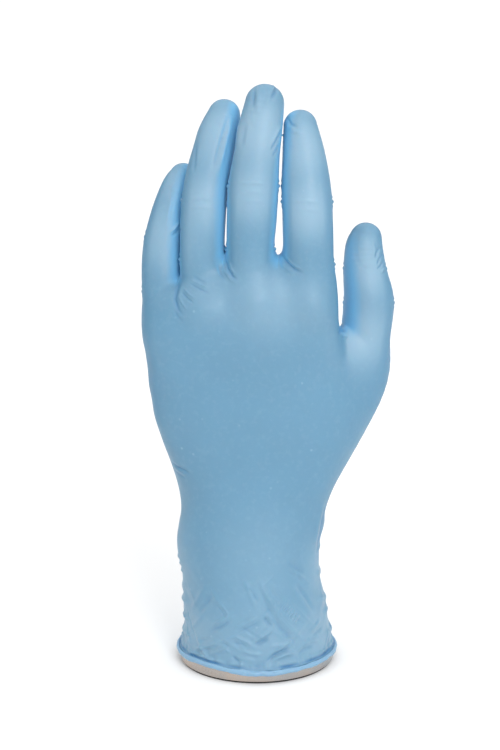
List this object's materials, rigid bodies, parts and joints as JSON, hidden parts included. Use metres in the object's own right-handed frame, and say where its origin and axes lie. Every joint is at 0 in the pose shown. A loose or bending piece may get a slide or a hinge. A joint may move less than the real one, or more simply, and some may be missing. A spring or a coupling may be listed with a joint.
{
  "type": "gloved display hand",
  "caption": "Thin disposable glove with a rolled cuff bead, pulled over a rigid life-size left display hand that turns on a round steel base.",
  "frame": {"origin": "centre of the foot pad's underside, on the axis that the hand turns about", "axes": "+Z from the foot to the fingertips, -Y out of the back of the hand, +X towards the thumb's side"},
  "size_m": [0.1088, 0.0718, 0.2542],
  "materials": {
    "base_steel": "turned, satin",
    "pad_rubber": "matt",
    "black_steel": "black oxide",
    "nylon": "natural nylon",
    "zinc_steel": "zinc plated",
    "cast_resin": "cast polyurethane, matt",
    "plate_aluminium": "milled",
    "insert_brass": "turned",
    "nitrile_film": "satin film",
    "nitrile_bead": "satin, rolled thick"
  },
  "bodies": {
    "base": {"base_disc": "base_steel", "foot_pad": "pad_rubber", "swivel_screw": "black_steel", "thrust_washer": "nylon", "spring_washer": "zinc_steel", "lock_nut": "zinc_steel"},
    "hand": {"hand_form": "cast_resin", "wrist_plate": "plate_aluminium", "thread_inserts": "insert_brass", "plate_screws": "zinc_steel"},
    "glove": {"glove_hand": "nitrile_film"},
    "cuff": {"glove_cuff": "nitrile_film", "cuff_bead": "nitrile_bead"}
  },
  "joints": [
    {"name": "form_turn", "type": "hinge", "parent": "base", "child": "hand", "pos_m": [0, 0, 0.01], "axis": [0, 0, 1], "continuous": true},
    {"name": "glove_pull", "type": "slide", "parent": "hand", "child": "glove", "axis": [0, 0, 1], "range_m": [0, 0.26], "deforming": ["glove_hand", "glove_cuff", "cuff_bead"]},
    {"name": "cuff_slide", "type": "slide", "parent": "glove", "child": "cuff", "axis": [0, 0, 1], "range_m": [0, 0.03], "deforming": ["glove_cuff"]}
  ]
}
